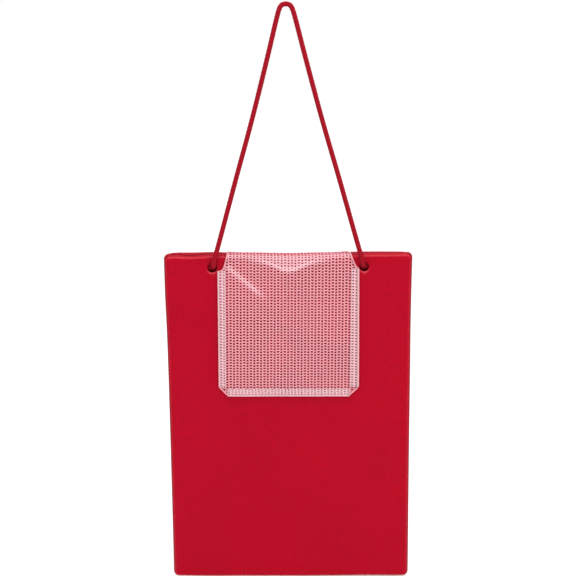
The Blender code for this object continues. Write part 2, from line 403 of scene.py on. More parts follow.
class Waves:
    """Seeded smooth noise in two coordinates, from a few plane waves."""

    def __init__(self, seed, count, shortest, longest):
        random = np.random.default_rng(seed)
        angle = random.uniform(0, 2 * pi, count)
        length = np.exp(random.uniform(np.log(shortest), np.log(longest), count))
        self.kx, self.kz = 2 * pi * np.cos(angle) / length, 2 * pi * np.sin(angle) / length
        self.phase = random.uniform(0, 2 * pi, count)
        self.size = (length / longest) ** 0.7
        self.size /= np.sqrt((self.size**2).sum() / 2)

    def __call__(self, x, z):
        x, z = np.asarray(x, dtype=float)[..., None], np.asarray(z, dtype=float)[..., None]
        return (self.size * np.sin(self.kx * x + self.kz * z + self.phase)).sum(-1)


# ---------------------------------------------------------------- pouch shape
PULL_LINES = ((-60, 0.30), (-20, 0.22), (-125, 0.24), (-160, 0.2))  # angle and strength round a hole
FACE_WAVES = {-1: Waves(11, 14, 45, 220), 1: Waves(12, 14, 45, 220)}
FRONT_LIP = (
    (-115, -1.3), (-110, -0.7), (-104, -0.3), (-94, -1.1), (-84, -0.7), (-74, 0.1), (-64, -0.1), (-50, -0.2),
    (-24, -1.0), (2, -1.9), (26, -1.1), (52, -0.2), (66, 0.0), (76, 0.1), (90, -0.1), (102, 0.1), (110, 0.0),
    (115, -0.6),
)
BACK_LIP = (
    (-115, -0.8), (-108, 0.4), (-90, 0.7), (-62, 0.7), (-54, 0.1), (-24, -0.8), (2, -1.4), (24, -1.1), (50, -0.6),
    (60, 0.1), (74, 0.3), (90, 0.2), (106, -0.1), (115, -0.7),
)
FOOT_DROP = (
    (-115, 0.0), (-103, 0.1), (-85, 0.45), (-45, 0.45), (-20, 0.6), (12, 0.95), (45, 1.1), (82, 1.2), (100, 1.5),
    (115, 1.6),
)
CREST = {-1: FRONT_CREST_Z, 1: BACK_CREST_Z}
LIP_SHAPE = {-1: FRONT_LIP, 1: BACK_LIP}


def foot_drop(x, z):
    """How far the soft foot hangs lower."""
    return -spline(FOOT_DROP, x) * smoothstep((BOTTOM_Z + 40 - z) / 40)


def sag(side, x, z):
    """How far the wall is moved down near its lip and its foot."""
    fall = np.exp(-np.maximum(CREST[side] - z, 0) / 14)
    return spline(LIP_SHAPE[side], x) * fall + foot_drop(x, z)


def half_depth(side, x, z):
    """Half the pouch's thickness, to the outside of one wall, away from its edges."""
    across = np.abs(x) / HALF_WIDTH
    down = (CREST[side] - z) / (CREST[side] - BOTTOM_Z)
    thick = HALF_DEPTH - 0.9 * across**5 - 0.5 * np.clip(down, 0, 1) ** 8
    thick += 0.7 * (1 - across**2) * np.sin(pi * np.clip(down, 0, 1)) ** 2 * (down > 0)
    thick += 0.16 * FACE_WAVES[side](x, z) * smoothstep((HALF_WIDTH - np.abs(x)) / 25)
    for hole in (-HOLE_X, HOLE_X) if side < 0 else ():
        away = np.hypot(x - hole, z - HOLE_Z)
        thick += 0.35 * np.exp(-(((away - 9.5) / 3.2) ** 2))
        thick -= 0.55 * np.exp(-((away / 6.5) ** 2))
        # pull lines that run out and down from each hole
        for angle, strength in PULL_LINES:
            a = radians(angle)
            along = (x - hole) * cos(a) + (z - HOLE_Z) * sin(a)
            off = -(x - hole) * sin(a) + (z - HOLE_Z) * cos(a)
            ridge = np.exp(-((off / (2.0 + 0.10 * np.abs(along))) ** 2)) * np.exp(-((along - 14) / 13) ** 2)
            thick += strength * ridge * (along > 0)
    return thick


def widened(x, z):
    """x moved out near the sides, where the soft pouch is a little wider, most of all at its mouth."""
    depth = np.maximum(BACK_CREST_Z - z, 0)
    more = 0.75 + 1.94 * np.exp(-depth / 85)
    more = more + np.where(x < 0, 0.5 * np.exp(-(((depth - 38) / 30) ** 2)), 0.3 * smoothstep((depth - 60) / 60))
    return x + np.sign(x) * more * smoothstep((np.abs(x) - 78) / 34)


def edge_steps(radius, count, reach):
    """Distances in from an edge that space points evenly round its rounding, then out to reach."""
    turns = [radius * (1 - cos(pi / 2 * i / count)) for i in range(count + 1)]
    return [t for t in turns if t < reach - 0.2] + [reach]


def corner_place(a, b):
    """A square's point as a quarter disc's point, both from 0 at the inner corner to 1."""
    return a * np.sqrt(1 - b * b / 2), b * np.sqrt(1 - a * a / 2)


def rounded_grid(half, top, foot, radius, side_steps, top_steps, foot_steps, x_lines, z_lines, holes=()):
    """Points and quads that fill a rounded rectangle, with a ring of points round each hole.

    Gives the points, quads, the loop round the outline, and one loop per hole."""
    xs = [-half + s for s in side_steps] + [x for x in x_lines if abs(x) < half - radius - 0.3]
    xs += [half - s for s in reversed(side_steps)]
    zs = [top - s for s in top_steps] + [z for z in z_lines if foot + radius + 0.3 < z < top - radius - 0.3]
    zs += [foot + s for s in reversed(foot_steps)]
    grid = np.array([[(x, z) for x in xs] for z in zs])
    centre_x, low, high = half - radius, foot + radius, top - radius
    a = np.clip((np.abs(grid[..., 0]) - centre_x) / radius, 0, 1)
    b_top = np.clip((grid[..., 1] - high) / radius, 0, 1)
    b_foot = np.clip((low - grid[..., 1]) / radius, 0, 1)
    b = np.maximum(b_top, b_foot)
    new_a, new_b = corner_place(a, b)
    corner = (a > 0) & (b > 0)
    x = np.where(corner, np.sign(grid[..., 0]) * (centre_x + new_a * radius), grid[..., 0])
    z = np.where(corner & (b_top > 0), high + new_b * radius, grid[..., 1])
    z = np.where(corner & (b_foot > 0), low - new_b * radius, z)
    rows, columns = x.shape
    points = np.stack([x, z], -1).reshape(-1, 2)
    index = np.arange(rows * columns).reshape(rows, columns)
    skip = np.zeros((rows - 1, columns - 1), dtype=bool)
    loops, extra, quads = [], [], []
    for hole_x, hole_z, hole_radius, reach in holes:
        inside = (np.abs(np.array(xs) - hole_x) < reach + 1e-6), (np.abs(np.array(zs) - hole_z) < reach + 1e-6)
        c, r = np.flatnonzero(inside[0]), np.flatnonzero(inside[1])
        skip[r[0] : r[-1], c[0] : c[-1]] = True
        ring = [index[r[0], k] for k in c[:-1]] + [index[k, c[-1]] for k in r[:-1]]
        ring += [index[r[-1], k] for k in c[:0:-1]] + [index[k, c[0]] for k in r[:0:-1]]
        outer = points[ring]
        angle = np.arctan2(outer[:, 1] - hole_z, outer[:, 0] - hole_x)
        circle = np.stack([hole_x + hole_radius * np.cos(angle), hole_z + hole_radius * np.sin(angle)], -1)
        before = ring
        for t in (0.3, 0.55, 0.75, 0.9, 1.0):
            start = len(points) + len(extra)
            extra.extend(outer * (1 - t) + circle * t)
            now = list(range(start, start + len(ring)))
            quads += [(before[k - 1], before[k], now[k], now[k - 1]) for k in range(len(ring))]
            before = now
        loops.append(before)
    for r in range(rows - 1):
        for c in range(columns - 1):
            if not skip[r, c]:
                quads.append((index[r, c], index[r, c + 1], index[r + 1, c + 1], index[r + 1, c]))
    border = list(index[0]) + list(index[1:, -1]) + list(index[-1, -2::-1]) + list(index[-2:0:-1, 0])
    if extra:
        points = np.concatenate([points, np.array(extra)])
    return points, quads, border, loops, index


def edge_drop(x, z, half, top, foot, radius, side_radius, top_radius):
    """How far the surface falls back from its face near the outline, and the distance to the outline."""
    dx = np.maximum(np.abs(x) - (half - radius), 0)
    up = z > (top + foot) / 2
    dz = np.where(up, np.maximum(z - (top - radius), 0), np.maximum((foot + radius) - z, 0))
    away = np.hypot(dx, dz)
    in_corner = (dx > 0) & (dz > 0)
    side_gap, end_gap = half - np.abs(x), np.where(up, top - z, z - foot)
    gap = np.where(in_corner, radius - away, np.minimum(side_gap, end_gap))
    turn = np.where(in_corner, np.arctan2(dz, dx) / (pi / 2), np.where(end_gap < side_gap, 1.0, 0.0))
    end_radius = np.where(up, top_radius, side_radius)
    rounding = side_radius + (end_radius - side_radius) * smoothstep(turn)
    gap = np.clip(gap, 0, None)
    inner = np.clip(rounding - gap, 0, rounding)
    return rounding - np.sqrt(np.maximum(rounding**2 - inner**2, 0)), gap


X_LINES = [STEP * i for i in range(-76, 77)]


def z_lines():
    near = [HOLE_Z + PATCH - STEP * i for i in range(9)]
    return near + [near[-1] - 3.0 * i for i in range(1, 102)]


def outer_wall(name, side, finish, node_name):
    """One outer sheet: a soft face with rounded edges whose lip rolls over into the mouth."""
    top, foot = CREST[side], BOTTOM_Z
    holes = [(x, HOLE_Z, RIM_RADIUS, PATCH) for x in (-HOLE_X, HOLE_X)] if side < 0 else []
    side_steps = edge_steps(EDGE_RADIUS, 7, CORNER_RADIUS)
    points, quads, _, loops, index = rounded_grid(
        HALF_WIDTH, top, foot, CORNER_RADIUS, side_steps, side_steps, side_steps, X_LINES, z_lines(), holes
    )
    x, z = points.T
    drop, gap = edge_drop(x, z, HALF_WIDTH, top, foot, CORNER_RADIUS, EDGE_RADIUS, LIP_RADIUS)
    y = half_depth(side, x, z) - drop
    inboard = np.abs(x) < HALF_WIDTH - 4
    lip = smoothstep((z - (top - 9)) / 3) * inboard
    # A painted highlight: a paler line about 1.8 mm in from the outline, strongest along the lip's roll.
    painted_highlight = (0.8 * lip + 0.25 * (1 - lip)) * np.exp(-(((gap - 1.8) / 0.6) ** 2))
    # Each hole's lower rim gets a painted highlight too, where the top light falls on it.
    for hole_x, hole_z, _, _ in holes:
        away = np.hypot(x - hole_x, z - hole_z)
        low = np.maximum(0, (hole_z - z) / np.maximum(away, 0.1)) ** 2
        painted_highlight += 1.1 * low * np.exp(-(((away - 5.5) / 0.45) ** 2))
    # Darker along the outline except at the lip: a dark seam, with painted shade on the rounded side edges.
    seam_and_shade = (1 - smoothstep((z - (top - 6)) / 5) * inboard) * np.exp(-((gap / 1.0) ** 2))
    points = np.stack([widened(x, z), side * y, z + sag(side, x, z)], -1)
    points, painted_highlight, seam_and_shade = list(points), list(painted_highlight), list(seam_and_shade)

    # the lip's roll: over the crest, down its inner side, and tucked back behind the facing
    across = index[0][len(side_steps) - 1 : len(index[0]) - len(side_steps) + 1]
    before = across
    roll = [(pi / 2 * i / 4, 0.0, 0.0) for i in range(1, 5)] + [(pi / 2, *tuck) for tuck in LIP_TUCK]
    for angle, down, back in roll:
        now = []
        for k in across:
            px, py, pz = points[k]
            shut = smoothstep((HALF_WIDTH - CORNER_RADIUS - abs(px)) / 10)
            radius = LIP_INNER_RADIUS * (0.35 + 0.65 * shut)
            inner = abs(py) - radius * sin(angle) + back
            now.append(len(points))
            points.append(np.array((px, side * inner, pz - radius * (1 - cos(angle)) - down)))
            # Painted highlight on the roll over the crest.
            painted_highlight.append(0.0 if down else 0.5)
        quads += [(before[i], before[i + 1], now[i + 1], now[i]) for i in range(len(across) - 1)]
        before = now
    # each hole's rim turns in through the wall
    for loop, (hole_x, hole_z, _, _) in zip(loops, holes, strict=True):
        before = loop
        for shrink, sink in RIM_STEPS:
            now = []
            for k in loop:
                px, py, pz = points[k]
                away = np.array((px - hole_x, pz - hole_z))
                away *= (np.linalg.norm(away) - shrink) / np.linalg.norm(away)
                now.append(len(points))
                points.append(np.array((hole_x + away[0], py + sink, hole_z + away[1])))
                # Painted highlight on the lower half of the rim's outer turns.
                low = max(0.0, -away[1] / np.linalg.norm(away)) ** 2
                painted_highlight.append(low if sink < 0.5 else 0.0)
            quads += [(before[i - 1], before[i], now[i], now[i - 1]) for i in range(len(loop))]
            before = now
    obj = mesh_object(name, points, quads, finish)
    fix_normals(obj)
    point_attribute(obj, "edge", painted_highlight)
    point_attribute(obj, "seam_and_shade", seam_and_shade + [0.0] * (len(points) - len(seam_and_shade)))
    if obj.data.polygons[0].normal.y * side <= 0:
        obj.data.flip_normals()
    thicken(obj, 0.55)
    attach(obj, "pouch")
    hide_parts(node_name)


def wall_layer(name, side, outer, thick, half, top, foot, radius, finish, node_name, holes=()):
    """A flat layer inside one wall, closed, that follows the wall's curve."""
    steps = edge_steps(radius, 3, radius)
    near = [HOLE_Z + PATCH - STEP * i for i in range(9)]
    lines = near + [near[-1] - 6.0 * i for i in range(1, 52)]
    xs = [x for x in X_LINES if abs(x) % 6 < 1e-6 or abs(abs(x) - HOLE_X) <= PATCH]
    flat, quads, border, loops, _ = rounded_grid(half, top, foot, radius, steps, steps, steps, xs, lines, holes)
    x, z = flat.T
    base = half_depth(side, x, z)
    count = len(flat)
    shape = [np.stack([widened(x, z), side * (base - o), z + sag(side, x, z)], -1) for o in (outer, outer + thick)]
    faces = list(quads) + [tuple(k + count for k in reversed(q)) for q in quads]
    for loop in [border, *loops]:
        faces += [(loop[i - 1], loop[i], loop[i] + count, loop[i - 1] + count) for i in range(len(loop))]
    obj = mesh_object(name, np.concatenate(shape), faces, finish)
    fix_normals(obj)
    obj.data.set_sharp_from_angle(angle=radians(40))
    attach(obj, "pouch")
    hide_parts(node_name)


def side_wall(finish):
    """The edge strip: round both top corners, down the sides and along the bottom, slightly pillowed."""
    x, radius = HALF_WIDTH - CORNER_RADIUS, CORNER_RADIUS
    foot = BOTTOM_Z - BACK_CREST_Z
    # from the mouth's end over the top left corner, down the side and round the bottom left corner
    path = [(-x + t, -dip) for t, dip in ((3.2, 2.4), (1.8, 0.9), (0.6, 0.2))]
    for i in range(7):
        a = radians(80 - 80 * i / 6)
        path.append((-x - radius * cos(a), radius * sin(a) - radius))
    path += [(-HALF_WIDTH, -radius - t) for t in np.linspace(3, -foot - 2 * radius - 3, 104)]
    for i in range(7):
        a = pi / 2 * i / 6
        path.append((-x - radius * cos(a), foot + radius - radius * sin(a)))
    right = [(-px, pz) for px, pz in reversed(path)]
    path = np.array(path + [(px, foot) for px in np.linspace(-x + 3, x - 3, 74)] + right)
    px, pz = path[:, 0], path[:, 1] + BACK_CREST_Z
    # outward direction at each point
    cx = np.clip(px, -x, x)
    cz = np.clip(pz, BOTTOM_Z + radius, BACK_CREST_Z - radius)
    out = np.stack([px - cx, pz - cz], -1)
    out /= np.maximum(np.linalg.norm(out, axis=1, keepdims=True), 1e-9)
    rows, painted_highlight = [], []
    profile = [(-1.0, -1.6), (-1.0, -0.5), (-0.93, 0.02), (-0.8, 0.22), (-0.4, 0.34), (0, 0.38)]
    profile += [(-a, b) for a, b in reversed(profile[:-1])]
    for share, rise in profile:
        # the front's top corner is a little lower than the back's
        low = (1 - share) / 2 * (BACK_CREST_Z - FRONT_CREST_Z) * smoothstep((pz - (BACK_CREST_Z - 30)) / 30)
        side = -1 if share < 0 else 1
        y = share * (half_depth(side, px, pz) - EDGE_RADIUS - 0.12)
        fall = sag(side, px, pz) * abs(share) + foot_drop(px, pz) * (1 - abs(share))
        rows.append(np.stack([widened(px, pz) + out[:, 0] * rise, y, pz - low + out[:, 1] * rise + fall], -1))
        # Painted highlight on the strip's outer crest.
        painted_highlight.append(np.full(len(px), 0.35 if rise > 0.2 else 0.0))
    points = np.concatenate(rows)
    n = len(px)
    obj = mesh_object("edge_strip_visual", points, strip_quads(len(rows), n), finish)
    fix_normals(obj)
    on_left_side = obj.data.polygons[(len(rows) // 2) * (n - 1) + 50]
    if on_left_side.normal.x > 0:
        obj.data.flip_normals()
    point_attribute(obj, "edge", np.concatenate(painted_highlight))
    # Painted shade over the whole edge strip, which faces sideways.
    point_attribute(obj, "seam_and_shade", np.full(len(points), 0.4))
    thicken(obj, 0.5)
    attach(obj, "pouch")
    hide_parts("edge_strip")


def stitches(name, places, directions, outs, radius, length, finish, body, node_name):
    """Short thread stitches, each a small bowed capsule."""
    points, faces = [], []
    rings, sides = 5, 6
    for place, along, out in zip(places, directions, outs, strict=True):
        along, out = np.array(along, dtype=float), np.array(out, dtype=float)
        along /= np.linalg.norm(along)
        cross = np.cross(along, out)
        start = len(points)
        for r in range(rings):
            t = r / (rings - 1) * 2 - 1
            fat = radius * max(0.25, (1 - t**4) ** 0.5)
            centre = np.array(place) + along * t * length / 2 + out * radius * (0.7 - 1.4 * t * t)
            for s in range(sides):
                a = 2 * pi * s / sides
                points.append(centre + fat * (cos(a) * out + sin(a) * cross))
        faces += shifted(tube_faces(rings, sides), start)
    obj = mesh_object(name, points, faces, finish)
    fix_normals(obj)
    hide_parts(node_name)
    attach(obj, body)
    return obj


def tube_faces(rings, sides):
    """The faces of a tube of rings, with a cap on each end."""
    faces = [
        (r * sides + k, r * sides + (k + 1) % sides, (r + 1) * sides + (k + 1) % sides, (r + 1) * sides + k)
        for r in range(rings - 1)
        for k in range(sides)
    ]
    return [*faces, tuple(range(sides))[::-1], tuple((rings - 1) * sides + k for k in range(sides))]


def seam_stitches(name, side, finish, node_name):
    """Stitches in the groove between one panel and the edge strip, down the sides and along the bottom."""
    places, directions, outs = [], [], []

    def add(px, pz, along, out):
        y = side * (half_depth(side, np.array(px), np.array(pz)) - EDGE_RADIUS + 0.1)
        places.append((float(widened(np.array(px), pz)) - out[0] * 0.1, float(y), pz - out[1] * 0.1))
        directions.append((along[0], 0, along[1]))
        outs.append((out[0], 0, out[1]))

    z = CREST[side] - 12
    while z > BOTTOM_Z + CORNER_RADIUS:
        for s in (-1, 1):
            add(s * HALF_WIDTH, z, (0, 1), (s, 0))
        z -= SEAM_STEP
    x_end = HALF_WIDTH - CORNER_RADIUS
    px = -x_end + 1
    while px < x_end:
        add(px, BOTTOM_Z, (1, 0), (0, -1))
        px += SEAM_STEP
    stitches(name, places, directions, outs, 0.24, 2.7, finish, "pouch", node_name)


# ---------------------------------------------------------------- cord
# The cord's right half, from its top bend down to the knot behind the front wall, as in the CAD
RIGHT_LEG = (
    (0, 0, 2.0), (2.8, 0, 1.5), (5.0, -0.1, -0.4), (6.4, -0.2, -3.4), (7.5, -0.3, -7.0),
    (10.2, -0.6, -17.0), (18.4, -1.8, -48.4), (33.1, -4.0, -103.0), (48.5, -6.3, -158.5), (65.7, -8.9, -220.0),
    (69.2, -9.4, -231.5), (70.9, -9.5, -237.2), (71.7, -8.1, -240.7), (72.0, -5.6, -242.0), (72.0, -4.4, -242.1),
)


def smooth_route(points, step):
    """Evenly spaced points on a Catmull-Rom curve through the given ones."""
    points = np.array(points, dtype=float)
    padded = np.vstack([2 * points[0] - points[1], points, 2 * points[-1] - points[-2]])
    fine = []
    for before, start, end, after in zip(padded, padded[1:], padded[2:], padded[3:], strict=False):
        t = np.linspace(0, 1, 40, endpoint=False)[:, None]
        fine.append(
            0.5
            * (
                2 * start
                + (end - before) * t
                + (2 * before - 5 * start + 4 * end - after) * t**2
                + (3 * start - before - 3 * end + after) * t**3
            )
        )
    fine = np.vstack([*fine, points[-1:]])
    run = np.concatenate([[0], np.cumsum(np.linalg.norm(np.diff(fine, axis=0), axis=1))])
    count = max(2, round(run[-1] / step))
    spots = np.linspace(0, run[-1], count + 1)
    return np.stack([np.interp(spots, run, fine[:, k]) for k in range(3)], -1), run[-1]


def braid_tube(name, route, finish, radius=CORD_RADIUS, step=0.4, sides=32, tapered=False):
    """A braided cord along a route: two families of strands that cross over and under each other."""
    line, length = smooth_route(route, step)
    tangent = np.gradient(line, axis=0)
    tangent /= np.linalg.norm(tangent, axis=1, keepdims=True)
    # carry a frame along the line without twist
    normal = np.zeros_like(line)
    first = np.cross(tangent[0], (0, 1, 0.2))
    normal[0] = first / np.linalg.norm(first)
    for i in range(1, len(line)):
        n = normal[i - 1] - tangent[i] * np.dot(normal[i - 1], tangent[i])
        normal[i] = n / np.linalg.norm(n)
    side = np.cross(tangent, normal)
    s = np.linspace(0, length, len(line))[:, None]
    theta = (2 * pi * np.arange(sides) / sides)[None, :]
    a = STRANDS * theta / (2 * pi) + s / BRAID_PITCH
    b = STRANDS * theta / (2 * pi) - s / BRAID_PITCH
    over = (np.floor(a) + np.floor(b)) % 2 < 1
    fa, fb = a % 1, b % 1
    width = np.where(over, fa, fb)
    along = np.where(over, fb, fa)
    bump = np.sqrt(np.clip(1 - (2 * width - 1) ** 2 * 0.96, 0, 1)) * (0.35 + 0.65 * np.sin(pi * along) ** 0.8)
    shape = radius + radius / CORD_RADIUS * (-0.05 + 0.5 * bump)
    if tapered:
        for away in (s, length - s):
            shape = shape * np.clip(away / (1.1 * radius), 0.02, 1) ** 0.5
    around = np.cos(theta)[..., None] * normal[:, None, :] + np.sin(theta)[..., None] * side[:, None, :]
    points = (line[:, None, :] + shape[..., None] * around).reshape(-1, 3)
    obj = mesh_object(name, points, tube_faces(len(line), sides), finish)
    fix_normals(obj)
    strand = np.stack([width * 8, along * 1.2 + np.where(over, 0.0, 7.0), bump], -1)
    point_attribute(obj, "strand", strand.reshape(-1, 3))
    return obj, line, length


def make_cord(finish):
    left = [(-x, y, z) for x, y, z in RIGHT_LEG[:0:-1]]
    route = []
    for x, y, z in (*left, *RIGHT_LEG):
        # the bend leans a little to the left on its hook, and the legs bow in a little
        lean = -0.3 * np.exp(-abs(z) / 60) * (z > -150)
        bow = -0.024 * x * np.exp(-(((z + 75) / 45) ** 2))
        # each end is pulled up and in against the rim of its hole
        pull = smoothstep((-233 - z) / 8)
        route.append((x + lean + bow - np.sign(x) * CORD_PULL[0] * pull, y, z + CORD_PULL[1] * pull))
    obj, line, length = braid_tube("hanging_cord_visual", route, finish)
    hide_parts("hanging_cord")
    knots = [make_knot("left", -1, finish), make_knot("right", 1, finish)]
    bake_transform(obj)
    tuple(float(c) * MM for c in line[0])
    [tuple(float(c) * MM for c in p) for p in line]


def make_knot(name, side, finish):
    """A barrel knot of three wraps behind the hole, with its short end."""
    wraps, wrap_radius, tube = 3, 2.15, 1.6
    route = [(side * (HOLE_X + 0.4), -2.5, HOLE_Z + 0.4)]
    steps = 12 * wraps
    for i in range(steps + 1):
        t = i / steps
        a = pi + 2 * pi * wraps * t
        x = side * (HOLE_X + 4.4 - 8.8 * t)
        route.append((x, wrap_radius * cos(a), HOLE_Z + wrap_radius * sin(a)))
    last = np.array(route[-1])
    route.append(tuple(last + (-side * 0.6, 0.6, -1.2)))
    obj, _, _ = braid_tube(name + "_knot_visual", route, finish, radius=tube, step=0.45, sides=24, tapered=True)
    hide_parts(name + "_cord_knot")
    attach(obj, "cord")
    return obj


# ---------------------------------------------------------------- net flap
NET_WAVES = Waves(21, 16, 18, 90)
UP_HOLE = (
    (0.104, 0.143), (0.5, 0.106), (0.896, 0.143), (0.808, 0.387),
    (0.632, 0.728), (0.5, 0.826), (0.368, 0.728), (0.192, 0.387),
)
DOWN_HOLE = (
    (0.334, 0.296), (0.5, 0.212), (0.666, 0.296), (0.874, 0.56),
    (0.947, 0.896), (0.5, 0.8), (0.053, 0.896), (0.126, 0.56),
)
FRAME_RING = ((0, 0), (0.5, 0), (1, 0), (1, 0.5), (1, 1), (0.5, 1), (0, 1), (0, 0.5))


def net_section(side):
    """The net's run in the middle plane from the mouth over one lip and down, as (length, y, z)."""
    radius = LIP_RADIUS + NET_GAP
    centre_y, centre_z = side * (HALF_DEPTH - LIP_RADIUS), CREST[side] - LIP_RADIUS
    (first_y, rise), *drops = MOUTH_RISE[side]
    path = [(0.0, MOUTH_DIP_Z), (side * first_y, MOUTH_DIP_Z + rise)]
    path += [(side * y, centre_z + radius - drop) for y, drop in drops]
    turns = [pi / 2 * i / 10 for i in range(11)]
    path += [(centre_y + side * radius * sin(a), centre_z + radius * cos(a)) for a in turns]
    path += [(centre_y + side * radius, centre_z - 2.0 * i) for i in range(1, NET_FALL[side] + 1)]
    path = np.array(path)
    run = np.concatenate([[0], np.cumsum(np.linalg.norm(np.diff(path, axis=0), axis=1))])
    return run, path[:, 0], path[:, 1]


NET_RUN = {side: net_section(side) for side in (-1, 1)}


def row_lines():
    """Where the net's rows start along the cloth, with rows closer together lower down."""
    lines = [0.0, FIRST_ROW]
    while lines[-1] < 155:
        lines.append(lines[-1] + float(spline(ROW_PITCH, lines[-1])))
    return lines


def creases(x, v):
    """How near a place is to a fold, from 0 to 1: a slack bow under the lip, a pull line from the left cut,
    and the turn over the lip."""
    v = v - 0.8
    bow = 11.5 + 9.5 * np.exp(-((x / 17) ** 2))
    near = np.exp(-(((v - bow) / 2.6) ** 2)) * np.exp(-((x / 34) ** 4))
    above = 0.52 * smoothstep((bow - v) / 3) * np.exp(-((x / 30) ** 4)) * smoothstep((v - 4) / 3)
    a = atan2(28.4, 34.1)
    along = (x + 58.6) * cos(a) + (v - 18.6) * sin(a)
    off = -(x + 58.6) * sin(a) + (v - 18.6) * cos(a)
    pull = 0.75 * np.exp(-((off / 2.5) ** 2)) * smoothstep((along + 3) / 6) * smoothstep((52 - along) / 20)
    turn = 0.5 * np.exp(-(((v - 8.0) / 1.7) ** 2))
    return np.maximum.reduce([near, above, pull, turn])


def on_run(side, v):
    """Heights and depths of places along one run, and the direction out of the cloth there."""
    run, ys, zs = NET_RUN[side]
    y, z = np.interp(v, run, ys), np.interp(v, run, zs)
    dy, dz = np.interp(v + 0.5, run, ys) - y, np.interp(v + 0.5, run, zs) - z
    size = side * np.hypot(dy, dz)
    return y, z, -dz / size, dy / size


def on_front(x, v, lift):
    """World points of cloth places on the front run: x across, v along, lift off the face.

    The flap hangs slightly askew: it leans to the left on its way down, and its rows fall to the right."""
    pale = creases(x, v)
    hem_share = smoothstep((np.abs(x) - 59) / 8) * np.where(x < 0, 0.5, 0.9)
    askew = -0.0125 * (v - 38) * (1 - hem_share)
    y, z, out_y, out_z = on_run(-1, v)
    face = half_depth(-1, x, z) - HALF_DEPTH
    down = smoothstep((v - 6.8) / 8)
    billow = 0.25 * NET_WAVES(x, z) * down + 0.35 * smoothstep((v - 70) / 70)
    billow += 1.1 * pale * down
    y = y - face * down + out_y * (lift + np.maximum(billow, -0.1))
    z = z + out_z * lift + sag(-1, x, z) + 0.0085 * (50 - x) * down
    return np.stack([x + askew, y, z], -1)


def on_back(x, v, lift):
    """World points of cloth places on the run down the back."""
    y, z, out_y, out_z = on_run(1, v)
    face = half_depth(1, x, z) - HALF_DEPTH
    y = y + face * smoothstep((v - 6.8) / 8) + out_y * lift
    return np.stack([x, y, z + out_z * lift + sag(1, x, z)], -1)


def net_cells(columns, rows, x_of, v_of, shift=0.0, folded=False, part=1.0):
    """Cells of net in cloth coordinates: points (x, v, lift), and quads; every cell has its opening."""
    points, quads, known = [], [], {}

    def add(p):
        key = (round(p[0], 4), round(p[1], 4))
        if key not in known:
            known[key] = len(points)
            points.append(p)
        return known[key]

    for c in columns:
        hole = DOWN_HOLE if c % 2 else UP_HOLE
        for r in rows:
            x0, x1 = x_of(c), x_of(c + 1)
            v0, v1 = v_of(r), v_of(r + 1)
            outer = [add((x0 + (x1 - x0) * p, v1 + (v0 - v1) * q, CELL_RISE)) for p, q in FRAME_RING]
            start = len(points)
            size = part * (1 - 0.42 * float(creases((x0 + x1) / 2, (v0 + v1) / 2))) if folded else part
            for p, q in hole:
                p, q = 0.5 + (p - 0.5) * size, 0.5 + (q - 0.5) * size
                points.append((x0 + (x1 - x0) * p, v1 + (v0 - v1) * (q + shift), 0.0))
            quads += [(outer[k], outer[(k + 1) % 8], start + (k + 1) % 8, start + k) for k in range(8)]
    return np.array(points), quads


def net_object(name, points, quads, side, finish):
    """A net sheet from cloth coordinates, on the front run or the back run."""
    x, v, lift = points.T
    obj = mesh_object(name, (on_front if side < 0 else on_back)(x, v, lift), quads, finish)
    # The fold value marks a painted highlight on the net's folds and its turn over the lip.
    point_attribute(obj, "fold", creases(x, v) if side < 0 else np.zeros(len(points)))
    fix_normals(obj)
    total = sum(p.normal.y * p.area for p in obj.data.polygons)
    if total * side < 0:
        obj.data.flip_normals()
    thicken(obj, NET_THICK)
    return obj


def v_at(z):
    """The cloth place on the front run that lies at a height."""
    run, _, zs = NET_RUN[-1]
    crest = int(np.argmax(zs))
    return float(np.interp(-z, -zs[crest:], run[crest:]))


LEFT_CUT = (
    (-58.4, -230.5), (-59.2, -233.5), (-60.3, -238.0), (-61.3, -241.6), (-62.6, -243.9), (-64.4, -245.0),
    (-FLAP_HALF_WIDTH, -245.3),
)
RIGHT_CUT = ((59.3, -230.5), (60.9, -233.7), (62.5, -237.4), (64.1, -240.7), (FLAP_HALF_WIDTH, -242.4))


def x_of(c):
    """Where a column of the net starts."""
    return -FLAP_HALF_WIDTH + PITCH_X * c


def make_hem(name, cells, fold, finish):
    """A hem: the net turned over once to the front, with its rounded edge."""
    (points, quads), (fold_points, fold_quads) = cells, fold
    quads = quads + shifted(fold_quads, len(points))
    points = np.concatenate([points + (0, 0, HEM_LIFT), fold_points])
    hem = net_object(name + "_hem_visual", points, quads, -1, finish)
    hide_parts(name + "_hem")
    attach(hem, "flap")
    return hem


def hem_stitches(name, x, v, along, thread):
    base = on_front(x, v, np.full(len(x), HEM_LIFT + 0.17))
    return stitches(
        name + "_hem_stitches", base, [along] * len(base), [(0, -1, 0)] * len(base),
        0.13, 1.9, thread, "flap", name + "_hem_thread",
    )


